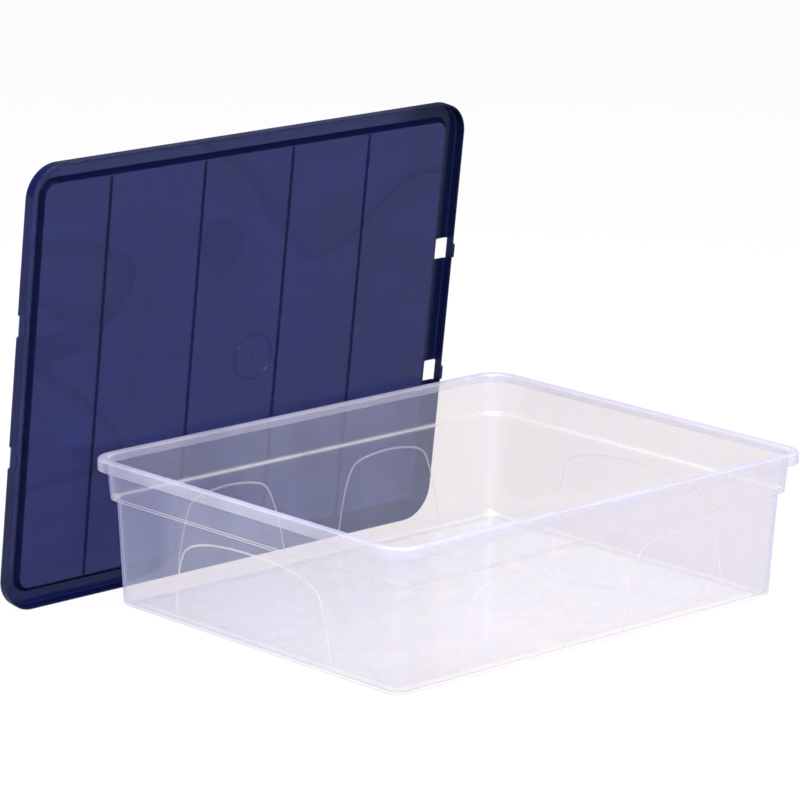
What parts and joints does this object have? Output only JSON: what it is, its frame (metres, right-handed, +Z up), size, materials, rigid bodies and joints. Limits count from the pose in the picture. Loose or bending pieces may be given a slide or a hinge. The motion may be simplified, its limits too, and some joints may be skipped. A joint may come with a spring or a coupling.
{
  "type": "under bed storage box",
  "caption": "Shallow clear plastic storage tub with rounded corners and a stepped rim, and a loose navy press-on lid with a recessed, lined centre panel.",
  "frame": {"origin": "centre of the tub's underside, on the floor it stands on", "axes": "+Z up, +X along the tub's long side; at rest the lid is off the tub and stands on its long edge behind it, on the +Y side"},
  "size_m": [0.692, 0.5116, 0.4841],
  "materials": {
    "clear_tub": "clear, slightly milky moulded polypropylene, glossy",
    "navy_lid": "deep navy translucent moulded polypropylene, glossy"
  },
  "bodies": {
    "tub": {"tub": "clear_tub"},
    "lid": {"lid": "navy_lid"}
  },
  "joints": [
    {"name": "lid_lift", "type": "slide", "parent": "tub", "child": "lid", "axis": [0, -0.1132, 0.9936], "range_m": [0, 0.3]}
  ]
}
